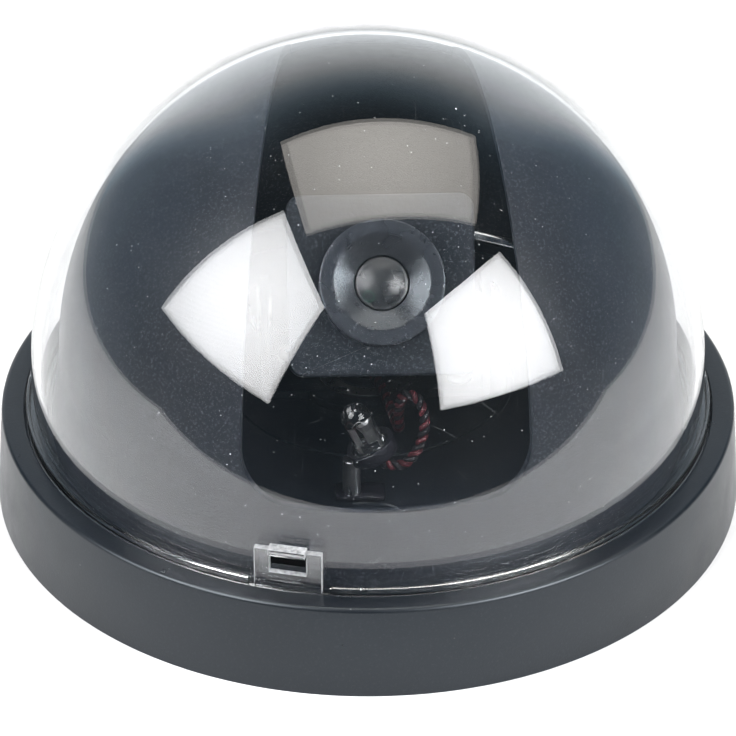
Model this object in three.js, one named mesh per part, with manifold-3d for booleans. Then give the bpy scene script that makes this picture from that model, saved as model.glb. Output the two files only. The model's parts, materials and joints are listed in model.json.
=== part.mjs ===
// Battery-powered imitation dome camera for a ceiling, wall or shelf.
// Millimetres, +Z up. The origin is the centre of the face it rests on, and the lens looks to -Y.
//
// A black base holds two cells behind a sliding door, and a clear dome drops onto it and is held
// by a flexing latch. Inside the dome a turntable carries a slotted black liner, a yoke with the
// tilting camera, and the signal light.

import * as THREE from 'three';
import { mergeVertices } from 'three/addons/utils/BufferGeometryUtils.js';
import Module from 'manifold-3d';

const wasm = await Module();
wasm.setup();

// ---------------------------------------------------------------- driving dimensions

const GAP = 0.3;                 // clearance between neighbouring pieces

const BASE_RADIUS = 65.0;        // at the resting face
const BASE_TOP_RADIUS = 63.95;   // at the top edge
const BASE_HEIGHT = 17.0;
const BASE_WALL = 2.0;
const RECESS_RADIUS = 60.0;      // opening that takes the dome's flange
const RECESS_FLOOR = 15.3;
const DECK_RADIUS = 53.4;        // raised table under the turntable
const DECK_TOP = 18.8;
const DECK_UNDERSIDE = 16.8;
const HUB_RADIUS = 5.6;
const HUB_BORE = 3.4;
const HUB_TOP = 22.9;

const DOME_RADIUS = 58.58;
const DOME_WALL = 1.5;
const DOME_CENTRE_Z = 24.68;
const FLANGE_BOTTOM = 15.6;
const FLANGE_TOP = 17.0;
const FLANGE_INNER = 56.5;
const FLANGE_OUTER = 59.7;
const LIP_INNER = 59.0;
const LIP_TOP = 18.2;

const LATCH_ANGLE = -12.75;      // degrees about Z, from the -Y direction
const LATCH_WIDTH = 11.5;
const LATCH_TOP = 25.0;
const NOTCH_WIDTH = 14.0;

const PAN_REST = 2.0;            // degrees about Z
const TURNTABLE_RADIUS = 52.8;
const TURNTABLE_BOTTOM = 19.1;
const TURNTABLE_TOP = 20.9;

const LINER_RADIUS = 53.5;
const LINER_WALL = 1.5;
const LINER_CENTRE_Z = 28.0;
const LINER_FOOT_Z = 16.0;
const LINER_FOOT_RADIUS = 55.8;
const SLOT_MIDDLE_X = 1.5;
const SLOT_HALF_WIDTH = 17.4;    // beside the pan axis
const SLOT_TAPER = 0.138;        // the slot narrows by this much on each side for 1 mm to the rear
const SLOT_FRONT_Y = -60.0;
const SLOT_REAR_Y = 25.0;
const SLOT_BOTTOM_Z = 29.5;
const SLOT_CORNER = 8.5;
const LUG_ANGLES = [90, 210, 330];
const LUG_SCREW_RADIUS = 49.9;

const CAMERA_X = 1.2;            // sideways offset of the camera from the pan axis
const PIVOT_Z = 35.5;
const CAMERA_ELEVATION = 38.0;   // degrees above the horizon
const CAMERA_HALF_WIDTH = 14.0;
const CAMERA_REAR_RADIUS = 11.0;
const CAMERA_FRONT_HALF_HEIGHT = 13.0;
const CAMERA_FRONT = 34.7;       // along the lens axis from the tilt pivot
const CAMERA_WALL = 1.5;
const EAR_INNER = 18.3;
const EAR_OUTER = 19.8;
const LENS_RING_RADIUS = 10.4;
const LENS_RING_INNER = 8.1;
const LENS_FRONT = 41.5;

const LIGHT_X = -0.8;            // the signal light's flange
const LIGHT_Y = -36.0;
const LIGHT_Z = 31.0;
const LIGHT_LEAN = 24.0;         // degrees to the left
const LIGHT_RADIUS = 2.5;

const PLATE_LEVEL = 2.2;         // underside of the raised middle of the mounting plate
const PLATE_THICKNESS = 1.6;
const BATTERY_ROWS = [16.1, 28.1];
const CELL_RADIUS = 5.25;
const CELL_LENGTH = 43.7;
const CELL_Z = 9.6;
const TRAY_HALF_LENGTH = 28.6;
const TRAY_FRONT_Y = 9.0;
const TRAY_REAR_Y = 35.2;
const TRAY_BOTTOM = 4.1;
const TRAY_TOP = 16.5;
const TRAY_WALL = 1.4;
const HOUSING_SCREWS = [[0, -44], [43.6, 6.1], [-43.6, 6.1]];
const TRAY_SCREWS = [[31.6, 22.1], [-31.6, 22.1]];
const SWITCH_X = 22.0;
const SWITCH_Y = -24.0;

const FINE = 48;                 // sides of the large round pieces
const MEDIUM = 20;
const SMALL = 10;

// ---------------------------------------------------------------- solids

const toRadians = (degrees) => degrees * Math.PI / 180;

// A closed surface becomes a solid: vertices merged, flat triangles dropped, faces outwards.
function toSolid(geometry) {
  const bare = geometry.clone();
  bare.deleteAttribute('normal');
  bare.deleteAttribute('uv');
  const merged = mergeVertices(bare, 1e-4);
  const at = merged.attributes.position;
  const corners = [0, 1, 2].map(() => new THREE.Vector3());
  const cross = new THREE.Vector3();
  const kept = [];
  let volume = 0;
  for (let i = 0; i < merged.index.count; i += 3) {
    const ids = [0, 1, 2].map((k) => merged.index.getX(i + k));
    if (new Set(ids).size < 3) continue;
    corners.forEach((corner, k) => corner.fromBufferAttribute(at, ids[k]));
    cross.crossVectors(corners[1], corners[2]);
    volume += corners[0].dot(cross);
    kept.push(ids);
  }
  const triVerts = new Uint32Array(kept.flatMap(([a, b, c]) => (volume > 0 ? [a, b, c] : [a, c, b])));
  const vertProperties = new Float32Array(at.array);
  return new wasm.Manifold(new wasm.Mesh({ numProp: 3, vertProperties, triVerts }));
}

function toGeometry(solid) {
  const mesh = solid.getMesh();
  const geometry = new THREE.BufferGeometry();
  geometry.setAttribute('position', new THREE.BufferAttribute(new Float32Array(mesh.vertProperties), 3));
  geometry.setIndex(new THREE.BufferAttribute(new Uint32Array(mesh.triVerts), 1));
  geometry.computeVertexNormals();
  return geometry;
}

function join(...geometries) {
  return toGeometry(geometries.map(toSolid).reduce((whole, next) => whole.add(next)));
}

function cut(geometry, ...tools) {
  return toGeometry(tools.map(toSolid).reduce((whole, next) => whole.subtract(next), toSolid(geometry)));
}

// A turned shape about Z from a closed outline of [radius, height] pairs.
function turned(outline, sides = FINE) {
  const points = outline.map(([radius, height]) => new THREE.Vector2(radius, height));
  if (outline[0][0] > 0) points.push(points[0].clone());
  return new THREE.LatheGeometry(points, sides).rotateX(Math.PI / 2);
}

function disc(radius, bottom, top, sides = MEDIUM) {
  return turned([[0, bottom], [radius, bottom], [radius, top], [0, top]], sides);
}

function ring(inner, outer, bottom, top, sides = MEDIUM) {
  return turned([[inner, bottom], [outer, bottom], [outer, top], [inner, top]], sides);
}

// A box given by its lowest and highest corner.
function block([x0, y0, z0], [x1, y1, z1]) {
  const box = new THREE.BoxGeometry(x1 - x0, y1 - y0, z1 - z0);
  return box.translate((x0 + x1) / 2, (y0 + y1) / 2, (z0 + z1) / 2);
}

// A flat outline, raised from one height to another.
function raised(shape, bottom, top, curveSegments = 6) {
  const options = { depth: top - bottom, bevelEnabled: false, curveSegments };
  return new THREE.ExtrudeGeometry(shape, options).translate(0, 0, bottom);
}

// An outline in the plane of depth and height, stretched sideways from one x to another.
function sideways(shape, from, to) {
  const standing = raised(shape, from, to);
  return standing.applyMatrix4(new THREE.Matrix4().set(0, 0, 1, 0, 1, 0, 0, 0, 0, 1, 0, 0, 0, 0, 0, 1));
}

// A round wire along a smooth curve through its points.
function wire(points, radius, steps, sides = 8) {
  const path = new THREE.CatmullRomCurve3(points.map((point) => new THREE.Vector3(...point)));
  const section = new THREE.Shape();
  for (let k = 0; k < sides; k += 1) {
    const angle = 2 * Math.PI * k / sides;
    section[k ? 'lineTo' : 'moveTo'](radius * Math.cos(angle), radius * Math.sin(angle));
  }
  section.closePath();
  return new THREE.ExtrudeGeometry(section, { steps, bevelEnabled: false, extrudePath: path });
}

// Points of an arc of [radius, height] pairs on a sphere, between two heights.
function sphereArc(radius, centreZ, fromZ, toZ, count) {
  const slopeAt = (z) => Math.asin(Math.min(1, (z - centreZ) / radius));
  const start = slopeAt(fromZ);
  const end = slopeAt(toZ);
  return Array.from({ length: count + 1 }, (_, k) => {
    const angle = start + (end - start) * k / count;
    const onAxis = Math.abs(angle - Math.PI / 2) < 1e-6;
    return [onAxis ? 0 : radius * Math.cos(angle), centreZ + radius * Math.sin(angle)];
  });
}

// A screw standing head down: the shank rises from the head.
function screw(headRadius, shankRadius, headBottom, headTop, shankTop) {
  return turned([
    [0, headBottom], [headRadius * 0.8, headBottom], [headRadius, headBottom + 0.35], [headRadius, headTop],
    [shankRadius, headTop], [shankRadius, shankTop], [0, shankTop],
  ], SMALL);
}

// The same screw standing head up.
function screwDown(headRadius, shankRadius, shankBottom, headBottom, headTop) {
  const upright = screw(headRadius, shankRadius, 0, headTop - headBottom, headTop - shankBottom);
  return upright.rotateX(Math.PI).translate(0, 0, headTop);
}

// ---------------------------------------------------------------- materials

function finish(colour, roughness, metalness = 0) {
  return new THREE.MeshStandardMaterial({ color: colour, roughness, metalness });
}

function seeThrough(colour, roughness, opacity) {
  return new THREE.MeshStandardMaterial({ color: colour, roughness, transparent: true, opacity });
}

const housingBlack = finish(0x1b1d20, 0.55);
const linerBlack = finish(0x0d0e11, 0.5);
const glossBlack = finish(0x08090b, 0.15);
const clearPlastic = seeThrough(0xe9eef0, 0.04, 0.25);
const lensGlass = seeThrough(0x1a2026, 0.02, 0.8);
const lightClear = seeThrough(0xf2f2f0, 0.05, 0.5);
const zincSteel = finish(0x9c9f9f, 0.35, 1);
const springSteel = finish(0xb8b6ae, 0.3, 1);
const cellJacket = finish(0x2b4a6b, 0.35);
const redLead = finish(0x7a1418, 0.4);
const blackLead = finish(0x101114, 0.4);

// ---------------------------------------------------------------- base

function baseHousing() {
  const shell = turned([
    [BASE_RADIUS, 0], [BASE_TOP_RADIUS, BASE_HEIGHT - 0.8], [BASE_TOP_RADIUS - 0.25, BASE_HEIGHT - 0.25],
    [BASE_TOP_RADIUS - 0.8, BASE_HEIGHT], [RECESS_RADIUS, BASE_HEIGHT], [RECESS_RADIUS, RECESS_FLOOR],
    [DECK_RADIUS, RECESS_FLOOR], [DECK_RADIUS, DECK_TOP], [HUB_RADIUS, DECK_TOP], [HUB_RADIUS, HUB_TOP],
    [HUB_BORE, HUB_TOP], [HUB_BORE, DECK_UNDERSIDE], [DECK_RADIUS - 1.6, DECK_UNDERSIDE],
    [DECK_RADIUS - 1.6, RECESS_FLOOR - 1.8], [RECESS_RADIUS + 2.3, RECESS_FLOOR - 1.8],
    [BASE_RADIUS - BASE_WALL, 0],
  ]);
  const bosses = HOUSING_SCREWS.map(([x, y]) => disc(3.6, 4.5, DECK_UNDERSIDE + 0.5).translate(x, y, 0));
  const pilots = HOUSING_SCREWS.map(([x, y]) => disc(1.7, 4, 13, SMALL).translate(x, y, 0));
  const trayPilots = TRAY_SCREWS.map(([x, y]) => disc(1.4, 16, DECK_TOP - 0.4, SMALL).translate(x, y, 0));
  return cut(join(shell, ...bosses), ...pilots, ...trayPilots);
}

// A dished plate closes the base. Its rim rests on the shelf and its middle stands clear of it.
function mountingPlate() {
  const top = PLATE_LEVEL + PLATE_THICKNESS;
  const dish = turned([
    [0, PLATE_LEVEL], [49, PLATE_LEVEL], [50, 0], [61.6, 0], [61.6, 2], [51.5, 2], [50, top], [0, top],
  ]);
  const below = -1;
  const above = top + 1;
  const screwHoles = HOUSING_SCREWS.map(([x, y]) => disc(1.7, below, above, SMALL).translate(x, y, 0));
  const keyholes = [-36, 36].flatMap((x) => [
    disc(4, below, above, SMALL).translate(x, -14, 0),
    block([x - 2, -24, below], [x + 2, -14, above]),
  ]);
  const batteryOpening = block([-26.5, 10.5, below], [26.5, 33.5, above]);
  const switchSlot = block([SWITCH_X - 4, SWITCH_Y - 1.6, below], [SWITCH_X + 4, SWITCH_Y + 1.6, above]);
  return cut(dish, ...screwHoles, ...keyholes, batteryOpening, switchSlot);
}

function batteryTray() {
  const outer = block(
    [-TRAY_HALF_LENGTH, TRAY_FRONT_Y, TRAY_BOTTOM],
    [TRAY_HALF_LENGTH, TRAY_REAR_Y, TRAY_TOP],
  );
  const tabs = block([-34, 18.6, TRAY_TOP - 1.6], [34, 25.6, TRAY_TOP]);
  const hollow = block(
    [-TRAY_HALF_LENGTH + TRAY_WALL, TRAY_FRONT_Y + TRAY_WALL, TRAY_BOTTOM - 1],
    [TRAY_HALF_LENGTH - TRAY_WALL, TRAY_REAR_Y - TRAY_WALL, TRAY_TOP - TRAY_WALL],
  );
  const rib = block([-20, 21.8, 10], [20, 22.4, TRAY_TOP - 1]);
  const holes = TRAY_SCREWS.map(([x, y]) => disc(1.4, 10, TRAY_TOP + 1, SMALL).translate(x, y, 0));
  return cut(join(cut(join(outer, tabs), hollow), rib), ...holes);
}

// A cell lies along X with its button end to +X.
function batteryCell() {
  const half = CELL_LENGTH / 2;
  const standing = turned([
    [0, -half], [CELL_RADIUS - 0.4, -half], [CELL_RADIUS, -half + 0.4], [CELL_RADIUS, half - 0.4],
    [CELL_RADIUS - 0.4, half], [1.9, half], [1.9, half + 0.8], [0, half + 0.8],
  ], MEDIUM);
  return standing.rotateY(Math.PI / 2);
}

// A conical spring along X, its wide end at x = 0.
function contactSpring() {
  const turns = 3.5;
  const steps = 28;
  const points = Array.from({ length: steps + 1 }, (_, k) => {
    const part = k / steps;
    const radius = 3.6 - 1.6 * part;
    const angle = 2 * Math.PI * turns * part;
    return [0.3 + 5.6 * part, radius * Math.cos(angle), radius * Math.sin(angle)];
  });
  return wire(points, 0.3, steps, 4);
}

// A sliding door under the cells, with a ribbed thumb pad.
function batteryDoor() {
  const panel = block([-29, 7, 0.6], [29, 37, 1.9]);
  const grooves = [9.4, 11, 12.6].map((y) => block([-7, y, 0], [7, y + 0.8, 0.95]));
  return cut(panel, ...grooves);
}

function switchBody() {
  const body = block([-6, -3, 4.1], [6, 3, 9.3]);
  const pocket = block([-4.2, -1.6, 3], [4.2, 1.6, 6.8]);
  return cut(body, pocket);
}

function switchSlider() {
  const stub = block([-1.2, -1.2, 1.0], [1.2, 1.2, 6.4]);
  const groove = block([-0.25, -2, 0.5], [0.25, 2, 1.4]);
  return cut(stub, groove);
}

// ---------------------------------------------------------------- turntable and liner

function turntable() {
  const plate = ring(6.0, TURNTABLE_RADIUS, TURNTABLE_BOTTOM, TURNTABLE_TOP, FINE);
  const linerHoles = LUG_ANGLES.map((angle) => disc(1.5, 18, 22, SMALL).applyMatrix4(atLug(angle)));
  const yokeHoles = YOKE_SCREWS.map(([x, y]) => disc(1.3, 18, 22, SMALL).translate(x, y, 0));
  return cut(plate, ...linerHoles, ...yokeHoles);
}

function atLug(angle) {
  const radians = toRadians(angle);
  return new THREE.Matrix4().makeTranslation(
    LUG_SCREW_RADIUS * Math.cos(radians),
    LUG_SCREW_RADIUS * Math.sin(radians),
    0,
  );
}

// The slot that the camera looks through: round-cornered, narrowing to the rear.
function slotTool() {
  const halfAt = (y) => SLOT_HALF_WIDTH - SLOT_TAPER * y;
  const half = halfAt(SLOT_FRONT_Y);
  const shape = new THREE.Shape();
  const cornerX = half - SLOT_CORNER;
  const cornerZ = SLOT_BOTTOM_Z + SLOT_CORNER;
  shape.moveTo(-half, 100);
  shape.lineTo(-half, cornerZ);
  shape.absarc(-cornerX, cornerZ, SLOT_CORNER, Math.PI, 1.5 * Math.PI, false);
  shape.absarc(cornerX, cornerZ, SLOT_CORNER, 1.5 * Math.PI, 2 * Math.PI, false);
  shape.lineTo(half, 100);
  shape.closePath();
  const tool = raised(shape, -SLOT_REAR_Y, -SLOT_FRONT_Y).rotateX(Math.PI / 2);
  const at = tool.attributes.position;
  for (let i = 0; i < at.count; i += 1) {
    at.setX(i, SLOT_MIDDLE_X + at.getX(i) * halfAt(at.getY(i)) / half);
  }
  return tool;
}

function innerLiner() {
  const top = LINER_CENTRE_Z + LINER_RADIUS;
  const innerRadius = LINER_RADIUS - LINER_WALL;
  const shell = turned([
    [LINER_FOOT_RADIUS, LINER_FOOT_Z],
    ...sphereArc(LINER_RADIUS, LINER_CENTRE_Z, LINER_CENTRE_Z, top, 8),
    ...sphereArc(innerRadius, LINER_CENTRE_Z, top - LINER_WALL, LINER_CENTRE_Z, 8),
    [LINER_FOOT_RADIUS - LINER_WALL, LINER_FOOT_Z],
  ]);
  const lug = block([-3.6, -4, TURNTABLE_TOP + GAP], [4.1, 4, TURNTABLE_TOP + GAP + 2.4]);
  const lugs = LUG_ANGLES.map((angle) => lug.clone().rotateZ(toRadians(angle)).applyMatrix4(atLug(angle)));
  const holes = LUG_ANGLES.map((angle) => disc(1.5, 18, 26, SMALL).applyMatrix4(atLug(angle)));
  return cut(join(shell, ...lugs), ...holes, slotTool());
}

// ---------------------------------------------------------------- yoke and camera

const YOKE_SCREWS = [[CAMERA_X - 14.5, 4], [CAMERA_X + 14.5, -4]];

function yokeBracket() {
  const bottom = TURNTABLE_TOP + GAP;
  const top = bottom + 1.6;
  const bar = block([CAMERA_X - EAR_OUTER, -7, bottom], [CAMERA_X + EAR_OUTER, 7, top]);
  const floor = join(bar, disc(12.5, bottom, top));
  const ear = new THREE.Shape();
  ear.moveTo(-7, bottom + 0.5);
  ear.lineTo(7, bottom + 0.5);
  ear.lineTo(5.5, PIVOT_Z);
  ear.absarc(0, PIVOT_Z, 5.5, 0, Math.PI, false);
  ear.closePath();
  const ears = [[-EAR_OUTER, -EAR_INNER], [EAR_INNER, EAR_OUTER]].map(([from, to]) => (
    sideways(ear, CAMERA_X + from, CAMERA_X + to)
  ));
  const pivotHole = disc(2.7, -30, 30, 16).rotateY(Math.PI / 2).translate(CAMERA_X, 0, PIVOT_Z);
  const hubHole = disc(9, 20, 24);
  const screwHoles = YOKE_SCREWS.map(([x, y]) => disc(1.3, 20, 24, SMALL).translate(x, y, 0));
  return cut(join(floor, ...ears), pivotHole, hubHole, ...screwHoles);
}

// The camera is drawn about its tilt pivot with the lens axis along -Y.
function cameraSide(inset) {
  const rear = CAMERA_REAR_RADIUS - inset;
  const front = CAMERA_FRONT_HALF_HEIGHT - inset;
  const shape = new THREE.Shape();
  shape.moveTo(-CAMERA_FRONT - (inset ? 1 : 0), -front);
  shape.lineTo(0, -rear);
  shape.absarc(0, 0, rear, -Math.PI / 2, Math.PI / 2, false);
  shape.lineTo(-CAMERA_FRONT - (inset ? 1 : 0), front);
  shape.closePath();
  return shape;
}

function cameraBody() {
  const inner = CAMERA_HALF_WIDTH - CAMERA_WALL;
  const outside = sideways(cameraSide(0), -CAMERA_HALF_WIDTH, CAMERA_HALF_WIDTH);
  const inside = sideways(cameraSide(CAMERA_WALL), -inner, inner);
  const bosses = [[-17.9, -13], [13, 17.9]].map(([from, to]) => (
    disc(4.2, from, to, 16).rotateY(Math.PI / 2)
  ));
  const bore = disc(2.5, -20, 20, 16).rotateY(Math.PI / 2);
  return cut(join(outside, ...bosses), inside, bore);
}

function frontPlate() {
  const shape = new THREE.Shape();
  const radius = 2.5;
  const halfX = 15.5;
  const halfZ = 15;
  shape.absarc(halfX - radius, halfZ - radius, radius, 0, Math.PI / 2, false);
  shape.absarc(-halfX + radius, halfZ - radius, radius, Math.PI / 2, Math.PI, false);
  shape.absarc(-halfX + radius, -halfZ + radius, radius, Math.PI, 1.5 * Math.PI, false);
  shape.absarc(halfX - radius, -halfZ + radius, radius, 1.5 * Math.PI, 2 * Math.PI, false);
  const plate = raised(shape, 35, 37, 4);
  return cut(plate, disc(7.9, 34, 38)).rotateX(Math.PI / 2);
}

// Pieces turned about the lens axis are drawn along +Z and laid down along -Y.
const alongLens = (geometry) => geometry.rotateX(Math.PI / 2);

const lensBarrel = () => alongLens(ring(5.2, 7.6, 18, 37.1));
const lensBezel = () => alongLens(ring(LENS_RING_INNER, LENS_RING_RADIUS, 37.3, LENS_FRONT, 32));
const lensCone = () => alongLens(turned([[4.6, 37.5], [7.8, 37.5], [7.8, 41.2], [4.6, 38.6]], 32));
const lensGlassShape = () => alongLens(turned([
  [0, 37.6], [4.3, 37.6], ...sphereArc(7.2, 32.9, 38.67, 40.1, 4),
], MEDIUM));

function tiltScrew(side) {
  const upright = screwDown(4, 2.2, 12.8, EAR_OUTER + GAP, EAR_OUTER + GAP + 1.8);
  return upright.rotateY(side * Math.PI / 2);
}

// ---------------------------------------------------------------- signal light

// A post carries a ring, and the light leans to the left in it.
function lightHolder() {
  const bottom = TURNTABLE_TOP + GAP;
  const postTop = LIGHT_Z - 2.3;
  const post = disc(1.5, bottom, postTop, SMALL).translate(LIGHT_X - 3.2, LIGHT_Y - 0.4, 0);
  const collar = leaning(ring(3.35, 4.2, -1.8, 0.6, MEDIUM));
  const foot = block([LIGHT_X - 6, LIGHT_Y - 2.4, bottom], [LIGHT_X + 2.4, LIGHT_Y + 2, bottom + 1]);
  return join(post, collar, foot);
}

function leaning(geometry) {
  return geometry.rotateY(-toRadians(LIGHT_LEAN)).translate(LIGHT_X, LIGHT_Y, LIGHT_Z);
}

function signalLight() {
  const flat = 6.1;
  return leaning(turned([
    [0, -0.9], [2.95, -0.9], [2.95, 0.2], [LIGHT_RADIUS, 0.2],
    ...sphereArc(LIGHT_RADIUS, flat, flat, flat + LIGHT_RADIUS, 4),
  ], MEDIUM));
}

// The two leads leave the hub side by side, arch up beside the light and drop to its foot.
// Each point of the route has the direction, in degrees, in which the leads lie beside each other.
const LIGHT_LEAD_ROUTE = [
  [0, 0, 20.3, 0], [0, 0, 22.4, 0], [0.3, -1.6, 23.75, 0], [2.2, -8, 23.7, 0],
  [4.0, -18, 23.9, 0], [4.4, -25.5, 27.4, 0], [4.2, -28.6, 33.0, 45], [4.9, -30.4, 37.0, 80],
  [7.0, -31.6, 37.4, 90], [8.3, -33.0, 34.4, 90], [7.6, -34.4, 30.2, 90], [5.2, -35.6, 27.1, 90],
  [2.2, -36, 27.0, 90], [LIGHT_X + 0.9, LIGHT_Y, LIGHT_Z - 2.6, 90],
];

function lightLead(side) {
  const points = LIGHT_LEAD_ROUTE.map(([x, y, z, turn]) => {
    const angle = toRadians(turn);
    return [x + 0.68 * side * Math.cos(angle), y + 0.68 * side * Math.sin(angle), z];
  });
  return wire(points, 0.5, 40, 6);
}

const leadSleeve = () => ring(1.7, 2.15, 19.4, 22.2, SMALL);

// Leads under the deck, from the cells and the switch to the hub.
const cellLeadRed = () => wire([
  [29.4, 16.1, 9], [31.5, 12, 8], [31, 0, 7.2], [27, -14, 7], [24.5, -20.4, 7],
], 0.6, 18, 6);
const switchLead = () => wire([
  [19.5, -20.4, 7], [16, -15, 9], [6, -5, 12], [1.4, -0.9, 14.5], [0.65, 0, 17.5], [0.65, 0, 19.9],
], 0.6, 20, 6);
const cellLeadBlack = () => wire([
  [-29.4, 16.1, 9], [-31.5, 10, 9], [-24, 2.5, 10.5], [-9, 2.5, 12], [-1.6, 0.8, 14.5], [-0.65, 0, 17.5],
  [-0.65, 0, 19.9],
], 0.6, 22, 6);

// ---------------------------------------------------------------- dome and latch

// The latch is drawn on the -Y side and turned to its place with its group.
function domeCover() {
  const top = DOME_CENTRE_Z + DOME_RADIUS;
  const innerRadius = DOME_RADIUS - DOME_WALL;
  const shell = turned([
    ...sphereArc(innerRadius, DOME_CENTRE_Z, top - DOME_WALL, FLANGE_TOP, 9),
    [FLANGE_INNER - 0.05, FLANGE_BOTTOM], [FLANGE_OUTER, FLANGE_BOTTOM], [FLANGE_OUTER, LIP_TOP],
    [LIP_INNER, LIP_TOP], [LIP_INNER, FLANGE_TOP],
    ...sphereArc(DOME_RADIUS, DOME_CENTRE_Z, FLANGE_TOP, top, 9),
  ]);
  const notch = block([-NOTCH_WIDTH / 2, -62, 15], [NOTCH_WIDTH / 2, -58.4, 19]);
  return cut(shell, notch.rotateZ(toRadians(LATCH_ANGLE)));
}

function releaseLatch() {
  const half = LATCH_WIDTH / 2;
  const foot = block([-half, -59.3, FLANGE_BOTTOM + 0.1], [half, -58.5, 18]);
  const plate = block([-half, -60.1, 17.4], [half, -59.0, LATCH_TOP]);
  const ledge = block([-3.15, -61.2, LATCH_TOP - 0.5], [3.15, -59.2, LATCH_TOP + 0.7]);
  const window = block([-3.15, -62, 20.5], [3.15, -58, 24.4]);
  return cut(join(foot, plate, ledge), window);
}

// ---------------------------------------------------------------- assembly

function piece(group, name, geometry, material) {
  const mesh = new THREE.Mesh(geometry, material);
  mesh.name = name;
  group.add(mesh);
  return mesh;
}

const camera = new THREE.Group();

const base = new THREE.Group();
camera.add(base);
piece(base, 'base_housing', baseHousing(), housingBlack);
piece(base, 'mounting_plate', mountingPlate(), housingBlack);
HOUSING_SCREWS.forEach(([x, y], k) => {
  piece(base, `housing_screw_${k + 1}`, screw(3, 1.3, 0.4, 1.9, 12), zincSteel).position.set(x, y, 0);
});
piece(base, 'battery_tray', batteryTray(), housingBlack);
TRAY_SCREWS.forEach(([x, y], k) => {
  piece(base, `tray_screw_${k + 1}`, screw(2.4, 1.0, 13, 14.6, 18), zincSteel).position.set(x, y, 0);
});
BATTERY_ROWS.forEach((y, k) => {
  const facing = k === 0 ? 1 : -1;
  const cell = piece(base, `battery_cell_${k + 1}`, batteryCell(), cellJacket);
  cell.position.set(2.9 * facing, y, CELL_Z);
  cell.rotation.z = k * Math.PI;
  const spring = piece(base, `contact_spring_${k + 1}`, contactSpring(), springSteel);
  spring.position.set(-26.2 * facing, y, CELL_Z);
  spring.rotation.z = k * Math.PI;
  const plate = piece(base, `contact_plate_${k + 1}`, block([-0.2, -4, -4.2], [0.2, 4, 4.2]), springSteel);
  plate.position.set(26.5 * facing, y, CELL_Z);
});
piece(base, 'battery_lead_red', cellLeadRed(), redLead);
piece(base, 'battery_lead_black', cellLeadBlack(), blackLead);
piece(base, 'switch_lead', switchLead(), redLead);
piece(base, 'switch_body', switchBody(), glossBlack).position.set(SWITCH_X, SWITCH_Y, 0);
piece(base, 'pan_retainer', ring(HUB_RADIUS + GAP, 8.4, TURNTABLE_TOP + GAP, HUB_TOP - GAP), zincSteel);
piece(base, 'battery_door', batteryDoor(), housingBlack);
piece(base, 'switch_slider', switchSlider(), glossBlack).position.set(SWITCH_X - 1.5, SWITCH_Y, 0);

const pan = new THREE.Group();
pan.rotation.z = toRadians(PAN_REST);
camera.add(pan);
piece(pan, 'turntable', turntable(), linerBlack);
piece(pan, 'inner_liner', innerLiner(), linerBlack);
LUG_ANGLES.forEach((angle, k) => {
  const linerScrew = screwDown(2.4, 1.1, 19.5, 23.9, 25.3).applyMatrix4(atLug(angle));
  piece(pan, `liner_screw_${k + 1}`, linerScrew, zincSteel);
});
piece(pan, 'yoke_bracket', yokeBracket(), linerBlack);
YOKE_SCREWS.forEach(([x, y], k) => {
  piece(pan, `yoke_screw_${k + 1}`, screwDown(2.2, 1.0, 19.5, 23.1, 24.3).translate(x, y, 0), zincSteel);
});
piece(pan, 'led_holder', lightHolder(), linerBlack);
piece(pan, 'led', signalLight(), lightClear);
piece(pan, 'led_lead_red', lightLead(1), redLead);
piece(pan, 'led_lead_black', lightLead(-1), blackLead);
piece(pan, 'lead_sleeve', leadSleeve(), blackLead);

const tilt = new THREE.Group();
tilt.position.set(CAMERA_X, 0, PIVOT_Z);
tilt.rotation.x = -toRadians(CAMERA_ELEVATION);
pan.add(tilt);
piece(tilt, 'camera_body', cameraBody(), linerBlack);
piece(tilt, 'front_plate', frontPlate(), linerBlack);
piece(tilt, 'lens_barrel', lensBarrel(), linerBlack);
piece(tilt, 'lens_bezel', lensBezel(), linerBlack);
piece(tilt, 'lens_cone', lensCone(), glossBlack);
piece(tilt, 'lens_glass', lensGlassShape(), lensGlass);
piece(tilt, 'tilt_screw_left', tiltScrew(-1), zincSteel);
piece(tilt, 'tilt_screw_right', tiltScrew(1), zincSteel);

const cover = new THREE.Group();
camera.add(cover);
piece(cover, 'dome_cover', domeCover(), clearPlastic);
piece(cover, 'release_latch', releaseLatch(), clearPlastic).rotation.z = toRadians(LATCH_ANGLE);

export default camera;
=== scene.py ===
"""Looks of the imitation dome camera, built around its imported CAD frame.

Lengths are written in millimetres and turned into metres by MM. Pieces under the turntable's
joint are drawn with the pan angle at zero and turned by PAN; the camera's own pieces are drawn
about the tilt pivot with the lens along -Y and placed by CAMERA.
"""
import json
import math

import bmesh
import bpy
from mathutils import Matrix, Vector


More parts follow.
